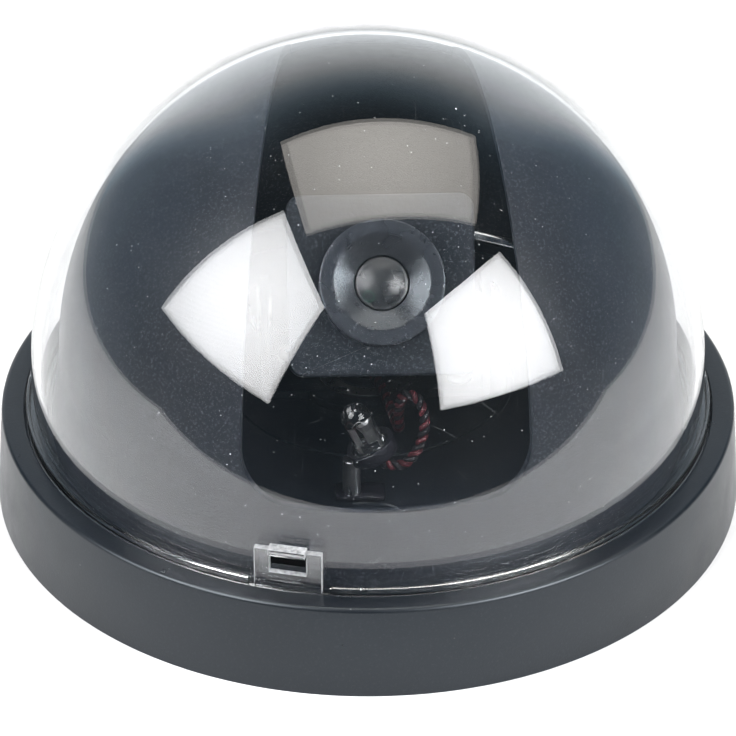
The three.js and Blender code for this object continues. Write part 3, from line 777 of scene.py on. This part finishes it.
def make_contacts(number):
    facing = 1 if number == 1 else -1
    spring = f"contact_spring_{number}"
    middle = centre_of(spring) / MM
    start = low_of(spring).x + 0.3 if facing == 1 else high_of(spring).x - 0.3
    path = []
    count = 150
    for k in range(count + 1):
        part = k / count
        radius = 3.5 - 1.6 * part
        angle = 2 * math.pi * 3.5 * part
        path.append(Vector((
            start + facing * 5.6 * part, middle.y + radius * math.cos(angle),
            middle.z + radius * math.sin(angle),
        )) * MM)
    piece(tube(path, 0.3, 10), f"spring_{number}", nickel, "base", [spring])
    plate = f"contact_plate_{number}"
    low, high = low_of(plate), high_of(plate)
    solid = carved("plate", [block(low, high)], [], bevel=0.12)
    piece(solid, f"contact_{number}", nickel, "base", [plate])


def make_base_leads():
    routes = {
        "battery_lead_red": ([
            (29.4, 16.1, 9), (31.5, 12, 8), (31, 0, 7.2), (27, -14, 7), (24.5, -20.4, 7),
        ], red_insulation, "red_lead"),
        "switch_lead": ([
            (19.5, -20.4, 7), (16, -15, 9), (6, -5, 12), (1.4, -0.9, 14.5), (0.65, 0, 17.5),
            (0.65, 0, 19.5),
        ], red_insulation, "red_lead"),
        "battery_lead_black": ([
            (-29.4, 16.1, 9), (-31.5, 10, 9), (-24, 2.5, 10.5), (-9, 2.5, 12), (-1.6, 0.8, 14.5),
            (-0.65, 0, 17.5), (-0.65, 0, 19.5),
        ], black_insulation, "black_lead"),
    }
    for node, (points, material, slot) in routes.items():
        wire = tube(smooth_path(points, 12), LEAD_RADIUS)
        piece(wire, f"{node}_wire", material, "base", [node])


def make_switch():
    low, high = low_of("switch_body"), high_of("switch_body")
    middle = (low + high) / 2
    pocket = block((middle.x - 4.2, middle.y - 1.6, 3), (middle.x + 4.2, middle.y + 1.6, 6.8))
    case = carved("case", [block(low, high)], [pocket], bevel=0.2)
    piece(case, "switch_case", gloss_black, "base", ["switch_body"])
    low, high = low_of("switch_slider"), high_of("switch_slider")
    starts = [low.x + 0.35 + 0.7 * k for k in range(3)]
    ridges = [block((x, low.y - 1, low.z - 1), (x + 0.35, high.y + 1, low.z + 0.35)) for x in starts]
    stub = carved("stub", [block(low, high)], ridges, bevel=0.08)
    piece(stub, "switch_knob", gloss_black, "switch", ["switch_slider"])


def make_retaining_ring():
    shape = ring(HUB_RADIUS + GAP, 8.4, TURNTABLE_TOP + GAP, HUB_TOP - GAP)
    piece(shape, "retaining_ring", zinc, "base", ["pan_retainer"])


jacket = cell_jacket()
make_base_shell()
make_mounting_plate()
make_battery_door()
make_battery_tray()
for index in (1, 2):
    make_cell(index)
    make_contacts(index)
make_base_leads()
make_switch()
make_retaining_ring()
screw_set("base_screw", "housing_screw", 3, (3, 1.3, -9, 0.4, 1.9), "base", flip=True)
screw_set("bracket_screw", "tray_screw", 2, (2.4, 1.0, 9.7, 13, 14.6), "base", flip=True)


# ------------------------ turntable and liner

LINER_SCREWS = [centre_of(f"liner_screw_{k}") for k in (1, 2, 3)]
YOKE_SCREWS = [centre_of(f"yoke_screw_{k}") for k in (1, 2)]


def make_turntable():
    bore = 6.0
    top = TURNTABLE_TOP
    outline = rounded([
        (bore, TURNTABLE_BOTTOM, 0.15), (TURNTABLE_RADIUS, TURNTABLE_BOTTOM, 0.3),
        (TURNTABLE_RADIUS, top, 0.3),
        (46.4, top), (46.2, top - 0.3), (45.2, top - 0.3), (45.0, top),
        (25.4, top), (25.2, top - 0.3), (24.4, top - 0.3), (24.2, top),
        (bore, top, 0.15),
    ])
    holes = [moved(disc(1.5, 18, 22), spot.x / MM, spot.y / MM) for spot in LINER_SCREWS]
    holes += [moved(disc(1.3, 18, 22), spot.x / MM, spot.y / MM) for spot in YOKE_SCREWS]
    plate = carved("plate", [turned(outline, FINE)], holes)
    piece(plate, "turning_plate", liner_black, "pan", ["turntable"])


def slot_tool():
    """The viewing slot as a solid: round lower corners, narrowing to the rear."""
    half = SLOT_HALF - SLOT_TAPER * SLOT_FRONT
    outline = rounded([
        (-half, 100), (-half, SLOT_BOTTOM, SLOT_CORNER), (half, SLOT_BOTTOM, SLOT_CORNER), (half, 100),
    ], steps=14)
    shape = changed(prism(outline, -SLOT_REAR, -SLOT_FRONT), ALONG_LENS)
    for vert in shape.verts:
        width = SLOT_HALF - SLOT_TAPER * vert.co.y / MM
        vert.co.x = SLOT_MIDDLE * MM + vert.co.x * width / half
    return shape


def liner_material():
    """The liner's plastic, with fine tool marks running round it."""
    look = Look("liner_marks")
    parts = look.node("ShaderNodeSeparateXYZ", {"Vector": look.place})
    rings = look.math("SINE", look.math("MULTIPLY", parts.outputs["Z"], 9000.0))
    fine = look.noise(2600, 3, 0.55)
    height = look.math("ADD", look.math("MULTIPLY", rings, 0.12), fine)
    cloud = look.noise(30, 4, 0.6)
    tone = look.mix_colour(look.remap(cloud, 0.35, 0.7), colour(0.0030, 0.0042, 0.0066),
                           colour(0.0048, 0.0064, 0.0095))
    tone = look.flecked(tone, 0.36)
    motes = look.math("MAXIMUM", look.specks(760, 0.04, 0.13), look.specks(300, 0.012, 0.08))
    tone = look.mix_colour(motes, tone, colour(0.12, 0.125, 0.13))
    gloss = look.uneven(0.36, 0.48, 70, 5, 0.65)
    return look.surface(
        Base_Color=tone, Roughness=gloss, Normal=look.bump(height, 0.02), IOR=1.5,
        Specular_IOR_Level=0.22,
    )


def make_liner():
    top = LINER_CENTRE + LINER_RADIUS
    inner = LINER_RADIUS - LINER_WALL
    outline = [
        (LINER_FOOT_RADIUS, LINER_FOOT),
        *sphere_arc(LINER_RADIUS, LINER_CENTRE, LINER_CENTRE, top, 64),
        *sphere_arc(inner, LINER_CENTRE, top - LINER_WALL, LINER_CENTRE, 64),
        (LINER_FOOT_RADIUS - LINER_WALL, LINER_FOOT),
    ]
    shell = carved("shell", [turned(outline, FINE)], [slot_tool()], bevel=0.3, segments=3)
    lugs = []
    for spot in LINER_SCREWS:
        flat = PAN.inverted() @ spot
        angle = math.atan2(flat.y, flat.x)
        level = TURNTABLE_TOP + GAP
        lug = block((-3.6, -4, level), (3.9, 4, level + 2.4))
        hole = disc(1.5, 18, 26)
        solid = carved("lug", [lug], [hole], bevel=0.25)
        lugs.append(changed(
            changed(from_object(solid), Matrix.Rotation(angle, 4, "Z")),
            Matrix.Translation((flat.x, flat.y, 0)),
        ))
    whole = joined(from_object(shell), *lugs)
    piece(whole, "slotted_liner", liner_material(), "pan", ["inner_liner"], PAN, sharp=34)


def make_yoke():
    bottom = TURNTABLE_TOP + GAP
    top = bottom + 1.6
    middle = CAMERA_SIDE
    height = pivot.z / MM
    ear = rounded([
        (-7, bottom + 0.5), (7, bottom + 0.5), (5.6, height + 5.5, 5.4), (-5.6, height + 5.5, 5.4),
    ], steps=12)
    floor = rectangle(middle - EAR_OUTER, -7, middle + EAR_OUTER, 7, 1)
    ears = [
        changed(prism(ear, middle + start, middle + end), SIDE_VIEW)
        for start, end in ((-EAR_OUTER, -EAR_INNER), (EAR_INNER, EAR_OUTER))
    ]
    tools = [disc(9, 20, 24, ROUND)]
    tools.append(moved(changed(disc(2.7, -30, 30), TO_X), middle, 0, height))
    for spot in YOKE_SCREWS:
        flat = (PAN.inverted() @ spot) / MM
        tools.append(moved(disc(1.3, 20, 24), flat.x, flat.y))
    solids = [prism(floor, bottom, top), disc(12.5, bottom, top, ROUND), *ears]
    yoke = carved("yoke", solids, tools, bevel=0.25)
    piece(yoke, "camera_yoke", liner_black, "pan", ["yoke_bracket"], PAN)


make_turntable()
make_liner()
make_yoke()
screw_set("lug_screw", "liner_screw", 3, (2.4, 1.1, 19.5, 23.9, 25.3), "pan")
screw_set("bracket_bolt", "yoke_screw", 2, (2.2, 1.0, 19.5, 23.1, 24.3), "pan")


# ------------------------ camera

def camera_side(inset):
    """The camera's side outline. Inset gives its hollow, which runs out through the front."""
    rear = CAMERA_REAR_RADIUS - inset
    front = CAMERA_FRONT_HALF_HEIGHT - inset
    reach = CAMERA_FRONT + (1 if inset else 0)
    arc = [
        (rear * math.sin(math.pi * k / 28), -rear * math.cos(math.pi * k / 28)) for k in range(29)
    ]
    return [(-reach, -front), *arc, (-reach, front)]


def make_camera():
    half = CAMERA_HALF_WIDTH
    inner = half - CAMERA_WALL
    boss_end = EAR_INNER - 0.4
    outside = changed(prism(camera_side(0), -half, half), SIDE_VIEW)
    inside = changed(prism(camera_side(CAMERA_WALL), -inner, inner), SIDE_VIEW)
    bosses = [changed(disc(4.2, *span), TO_X) for span in ((-boss_end, 1 - half), (half - 1, boss_end))]
    bore = changed(disc(2.5, -20, 20), TO_X)
    grooves = []
    for y in (-30, -27, -24, -21):
        profile = [(y, 12.2), (y + 1, 12.2), (y + 1, 15), (y, 15)]
        grooves.append(changed(prism(profile, -9, 9), SIDE_VIEW))
    body = carved("body", [outside, *bosses], [inside, bore, *grooves], bevel=0.5, segments=3, angle=50)
    piece(body, "camera_case", liner_black, "camera", ["camera_body"], CAMERA)

    x, y = PLATE_HALF_WIDTH, PLATE_HALF_HEIGHT
    outline = rectangle(-x, -y, x, y, 2.5, steps=8)
    hole = disc(7.9, 30, 40, ROUND)
    plate = carved("plate", [prism(outline, PLATE_REAR, PLATE_FRONT)], [hole], bevel=0.45, segments=3)
    piece(plate, "face_plate", speckled_black, "camera", ["front_plate"], ON_LENS)


def make_lens():
    inner, outer = LENS_RING_INNER, LENS_RING_RADIUS
    bezel = rounded([
        (inner, LENS_SEAT), (outer, LENS_SEAT, 0.2), (outer, LENS_FRONT, 0.3),
        (inner, LENS_FRONT - 0.1, 0.06),
    ], steps=6)
    piece(turned(bezel, FINE), "lens_ring", satin_black, "camera", ["lens_bezel"], ON_LENS)
    cone = rounded([(4.6, 37.5), (7.97, 37.5, 0.2), (7.97, 41.35, 0.05), (4.6, 39.35, 0.15)], steps=6)
    piece(turned(cone, FINE), "lens_dish", dish_black, "camera", ["lens_cone"], ON_LENS)
    barrel = rounded([
        (5.2, 18, 0.2), (7.6, 18, 0.3), (7.6, 24), (7.3, 24.3), (7.3, 24.9), (7.6, 25.2),
        (7.6, 37.1, 0.2), (5.2, 37.1, 0.2), (5.2, 30), (4.9, 29.8), (4.9, 29.0), (5.2, 28.8),
    ])
    piece(turned(barrel, ROUND), "lens_tube", liner_black, "camera", ["lens_barrel"], ON_LENS)
    dome = sphere_arc(7.2, 33.4, 39.3, 40.6, 14)
    glass = rounded([(0, 38.2), (3.4, 37.9), (4.3, 37.6, 0.1), (4.3, 39.3, 0.1), *dome], closed=False)
    piece(turned(glass, ROUND, closed=False), "lens_element", lens_front, "camera",
          ["lens_glass"], ON_LENS)
    # a short steel pin stands out of the face plate's right edge, drooping a little
    pin = changed(disc(0.9, 0, 7.2, SMALL, 0.15), Matrix.Rotation(math.radians(104), 4, "Y"))
    place = Matrix.Translation(Vector((15.4, -35.9, 8.0)) * MM)
    piece(pin, "plate_pin", bright_pin, "camera", [], CAMERA @ place)


make_camera()
make_lens()
for side, turn in (("left", -math.pi / 2), ("right", math.pi / 2)):
    place = CAMERA @ Matrix.Rotation(turn, 4, "Y")
    screw(f"pivot_screw_{side}", 4, 2.2, 12.8, 20.1, 21.9, "camera", place, f"tilt_screw_{side}")


# ------------------------ signal light

LEANING = Matrix.Translation(LIGHT * MM) @ Matrix.Rotation(-math.radians(LIGHT_LEAN), 4, "Y")
LEAD_ROUTE = [
    (0, 0, 20.5), (0, 0, 22.4), (0.3, -1.6, 23.75), (2.2, -8, 23.7), (4.0, -18, 23.9),
    (4.4, -25.5, 27.4), (4.2, -28.6, 33.0), (4.9, -30.4, 37.0), (7.0, -31.6, 37.4),
    (8.3, -33.0, 34.4), (7.6, -34.4, 30.2), (5.2, -35.6, 27.1), (2.2, -36, 27.0),
    (LIGHT.x + 0.9, LIGHT.y, LIGHT.z - 2.6),
]


def make_light():
    radius = LIGHT_RADIUS
    bulb = rounded([(0, -0.9), (2.95, -0.9, 0.15), (2.95, 0.2, 0.15), (radius, 0.25)], closed=False)
    bulb += sphere_arc(radius, 6.1, 6.1, 6.1 + radius, 20)
    piece(turned(bulb, ROUND, closed=False), "led_bulb", light_clear, "pan", ["led"],
          PAN @ LEANING)
    cup = rounded([(0, 3.6), (0.75, 3.6), (1.05, 4.9, 0.05), (0.8, 4.9, 0.05), (0.45, 4.3), (0, 4.25)],
                  closed=False)
    anvil = moved(turned(cup, SMALL, closed=False), 0.55)
    post = block((-1.35, -0.3, 1.2), (-0.7, 0.3, 4.7))
    foot = block((-0.1, -0.3, 1.0), (1.3, 0.3, 3.8))
    legs = [block((x - 0.25, -0.25, -2.4), (x + 0.25, 0.25, 1.4)) for x in (-1.27, 1.27)]
    arch = [(0.55, 0, 4.5), (0.2, 0, 5.4), (-0.6, 0, 5.3), (-1.0, 0, 4.7)]
    bond = tube(smooth_path(arch, 6), 0.05, 6)
    piece(joined(anvil, post, foot, *legs, bond), "led_frame", frame_metal, "pan", [],
          PAN @ LEANING)


def make_holder():
    low = TURNTABLE_TOP + GAP
    shaft = moved(disc(1.5, low, LIGHT.z - 2.3, SMALL, 0.2), LIGHT.x - 3.2, LIGHT.y - 0.4)
    piece(shaft, "led_post", dull_post, "pan", [], PAN)
    collar = changed(ring(3.35, 4.2, -1.8, 0.6, ROUND, 0.15), LEANING)
    foot = rectangle(LIGHT.x - 6, LIGHT.y - 2.4, LIGHT.x + 2.4, LIGHT.y + 2, 0.8)
    base = carved("foot", [prism(foot, low, low + 1)], [], bevel=0.2)
    clip = joined(collar, from_object(base))
    piece(clip, "led_clip", gloss_black, "pan", ["led_holder"], PAN)


def make_light_leads():
    """Two thin leads twisted round each other along one route."""
    path = smooth_path(LEAD_ROUTE, 40)
    frames = frames_along(path)
    travelled = 0.0
    strands = {0: [], 1: []}
    for k, here in enumerate(path):
        travelled += (here - path[k - 1]).length / MM if k else 0
        tangent, side = frames[k]
        other = tangent.cross(side)
        for strand in strands:
            angle = 2 * math.pi * travelled / TWIST_PITCH + math.pi * strand
            out = side * math.cos(angle) + other * math.sin(angle)
            strands[strand].append(here + out * TWIST_RADIUS * MM)
    for strand, tint, material in ((0, "red", red_insulation), (1, "black", black_insulation)):
        wire = tube(strands[strand], LIGHT_LEAD_RADIUS, 12)
        piece(wire, f"led_lead_{tint}_wire", material, "pan", [f"led_lead_{tint}"], PAN)


def make_sleeve():
    low, high = low_of("lead_sleeve"), high_of("lead_sleeve")
    shape = ring(1.7, 2.15, low.z, high.z, SMALL, 0.1)
    piece(shape, "sleeve", black_insulation, "pan", ["lead_sleeve"])


make_light()
make_holder()
make_light_leads()
make_sleeve()


# ------------------------ dome and latch

def make_dome():
    centre = DOME_TOP - DOME_RADIUS
    inner = DOME_RADIUS - DOME_WALL
    flange = rounded([
        (FLANGE_INNER, FLANGE_TOP), (FLANGE_INNER - 0.05, FLANGE_BOTTOM, 0.2),
        (FLANGE_OUTER, FLANGE_BOTTOM, 0.2),
        (FLANGE_OUTER, LIP_TOP, 0.25), (LIP_INNER, LIP_TOP, 0.2), (LIP_INNER, FLANGE_TOP, 0.15),
        (58.1, FLANGE_TOP),
    ], closed=False, steps=4)
    outline = [
        *sphere_arc(inner, centre, DOME_TOP - DOME_WALL, FLANGE_TOP + 0.3, 80), *flange[1:-1],
        *sphere_arc(DOME_RADIUS, centre, FLANGE_TOP, DOME_TOP, 80),
    ]
    notch = changed(block((-7, -62, 15), (7, -58.4, 19)), LATCH)
    shell = carved("shell", [turned(outline, FINE, closed=False)], [notch])
    piece(shell, "clear_dome", dome_clear, "dome", ["dome_cover"])


def frosted_clear():
    """Torn and moulded edges of the clear plastic, which scatter light."""
    look = Look("frosted_clear")
    cloud = look.noise(1500, 3, 0.6)
    tone = look.mix_colour(look.remap(cloud, 0.3, 0.7), colour(0.11, 0.115, 0.12),
                           colour(0.48, 0.49, 0.50))
    return look.surface(
        Base_Color=tone, Roughness=0.4, Transmission_Weight=0.4, IOR=1.49, Normal=look.bump(cloud, 0.1),
    )


def make_latch():
    """The tab with its window. Its edges, its ledge and the window's sides are frosted. A black strip in
    the window is painted shade under the ledge.
    """
    half = LATCH_HALF_WIDTH
    side = WINDOW_HALF_WIDTH
    foot = block((-half, -59.3, FLANGE_BOTTOM + 0.1), (half, -58.5, 18))
    plate = block((-half, -60.1, 17.4), (half, -59.0, LATCH_TOP))
    ledge = block((-side, -61.2, LATCH_TOP - 0.5), (side, -59.2, LATCH_TOP + 0.7))
    window = block((-side, -62, 20.5), (side, -58, 24.4))
    latch = carved("latch", [plate, foot, ledge], [window], bevel=0.16, segments=1)
    obj = piece(latch, "latch_tab", dome_clear, "latch", ["release_latch"])
    obj.data.materials.append(frosted_clear())
    for polygon in obj.data.polygons:
        normal, middle = polygon.normal, polygon.center / MM
        within = abs(middle.x) < side + 0.25 and 20.3 < middle.z < 24.5
        edge = normal.z > 0.3 or abs(normal.x) > 0.5 or (within and abs(normal.y) < 0.5)
        if middle.z > LIP_TOP and edge:
            polygon.material_index = 1
    obj.data.transform(LATCH)
    # painted shade: a dead black strip in the upper half of the window stands for the shadow under the
    # ledge
    shade_strip = block((0.2 - side, -59.75, 22.1), (side - 0.2, -59.4, 24.3))
    piece(shade_strip, "latch_painted_shade", painted_shade_black, "latch", [], LATCH)


make_dome()
make_latch()


# ------------------------ floor, light and camera

def plain(name, tint, roughness):
    look = Look(name)
    tone = look.mix_colour(look.uneven(0, 1, 3, 2), tint, shaded(tint, 0.97))
    return look.surface(Base_Color=tone, Roughness=roughness)


def make_floor():
    """A white table. Its front edge runs close in front of the camera dome and slightly aslant."""
    shape = bmesh.new()
    corners = ((-0.66, -0.24), (0.50, -0.078), (0.50, 1.1), (-0.66, 1.1))
    shape.faces.new([shape.verts.new((x, y, 0)) for x, y in corners])
    floor = to_object("floor", shape)
    floor.data.materials.append(plain("table_white", colour(0.6, 0.6, 0.6), 0.8))


HEM_GLOW = 0.68       # share of the panel's glow
HEM_INSIDE = 0.92     # the hem's inner edge, as a share of the panel's reach
SOFTBOX_DISTANCE = 0.8
AIM_HEIGHT = 0.0247


def softbox(name, azimuth, elevation, corners, centre_glow, edge_glow, tint):
    """A flat panel of light, square on to the dome's centre, with its corners given across and up.

    Its glow falls off from the middle outwards, and the hem round its edge is dimmer.
    """
    turn = math.radians(azimuth)
    rise = math.radians(elevation)
    away = Vector((math.sin(turn) * math.cos(rise), -math.cos(turn) * math.cos(rise), math.sin(rise)))
    across = (-away).cross(Vector((0, 0, 1))).normalized()
    up = across.cross(-away)
    middle = Vector((0, 0, AIM_HEIGHT)) + away * SOFTBOX_DISTANCE
    shape = bmesh.new()
    outer = [shape.verts.new(middle + across * x + up * y) for x, y in corners]
    centre = sum((vertex.co for vertex in outer), Vector()) / len(outer)
    inner = [shape.verts.new(centre.lerp(vertex.co, HEM_INSIDE)) for vertex in outer]
    shape.faces.new(inner)
    for corner in range(4):
        following = (corner + 1) % 4
        hem = [outer[corner], outer[following], inner[following], inner[corner]]
        shape.faces.new(hem).material_index = 1
    panel = to_object(name, shape)
    for part, strength in (("light", 1.0), ("hem", HEM_GLOW)):
        look = Look(f"{name}_{part}")
        power = look.remap(look.distance(centre), 0.05, 0.44, centre_glow * strength,
                           edge_glow * strength, smooth=True)
        glow = look.node("ShaderNodeEmission", {"Color": tint, "Strength": power}).outputs[0]
        panel.data.materials.append(look.done(glow))
    panel.visible_camera = False


make_floor()
cool_white = colour(0.98, 0.985, 1.0)
warm_white = colour(1.0, 0.96, 0.9)
softbox("left_softbox", -55, 40, [(-0.18, 0.42), (0.33, 0.19), (0.34, -0.37), (-0.42, -0.25)],
        14.0, 8.8, cool_white)
softbox("right_softbox", 49.5, 31, [(0.26, 0.29), (0.29, -0.30), (-0.38, -0.22), (-0.24, 0.24)],
        18.5, 9.4, cool_white)
softbox("top_softbox", 157, 76.7, [(0.46, -0.02), (-0.19, -0.38), (-0.49, 0.06), (0.20, 0.53)],
        4.5, 3.2, warm_white)


def make_world():
    """White where it is seen directly or through clear plastic.

    In reflections and in the light it casts, it is dim bluish air with a pale wall behind, brightest
    low down and fading upwards and to the sides.
    """
    sky = Look("studio", "worlds", "ShaderNodeOutputWorld")
    way = sky.node("ShaderNodeSeparateXYZ", {0: sky.coordinates["Generated"]}).outputs
    behind = sky.remap(way["Y"], -0.25, 0.4, smooth=True)
    lowness = sky.remap(way["Z"], 0.25, 0.88, 1.3, 0.0, smooth=True)
    narrow = sky.remap(sky.math("ABSOLUTE", way["X"]), 0.40, 0.68, 1.0, 0.1, smooth=True)
    wall = sky.math("MULTIPLY", sky.math("MULTIPLY", behind, narrow), lowness)
    strength = sky.math("ADD", wall, 0.07)
    air = sky.mix_colour(strength, colour(0.38, 0.72, 1.0), colour(0.93, 0.97, 1.0))
    dim = sky.node("ShaderNodeBackground", {"Color": air, "Strength": strength}).outputs[0]
    plain_white = {"Color": colour(1.0, 1.0, 1.0), "Strength": 1.05}
    white = sky.node("ShaderNodeBackground", plain_white).outputs[0]
    path = sky.node("ShaderNodeLightPath").outputs
    bounces = sky.math("ADD", path["Glossy Depth"], path["Diffuse Depth"])
    direct = sky.math("LESS_THAN", bounces, 0.5)
    mixed = sky.node("ShaderNodeMixShader", {0: direct, 1: dim, 2: white}).outputs[0]
    bpy.context.scene.world = sky.done(mixed)


VIEW_LENS = 252.6
VIEW_ELEVATION = 33.21
VIEW_DISTANCE = 0.9
VIEW_TARGET = Vector((0, 0, 0.0228))


def make_camera_view():
    data = bpy.data.cameras.new("view")
    data.sensor_width = 36.0
    data.lens = VIEW_LENS
    data.clip_start = 0.01
    view = bpy.data.objects.new("view", data)
    bpy.context.scene.collection.objects.link(view)
    rise = math.radians(VIEW_ELEVATION)
    back = Vector((0, -math.cos(rise), math.sin(rise)))
    view.location = VIEW_TARGET + back * VIEW_DISTANCE
    view.rotation_euler = (-back).to_track_quat("-Z", "Y").to_euler()
    bpy.context.scene.camera = view
    bpy.context.scene.view_settings.view_transform = "Standard"


make_world()
make_camera_view()
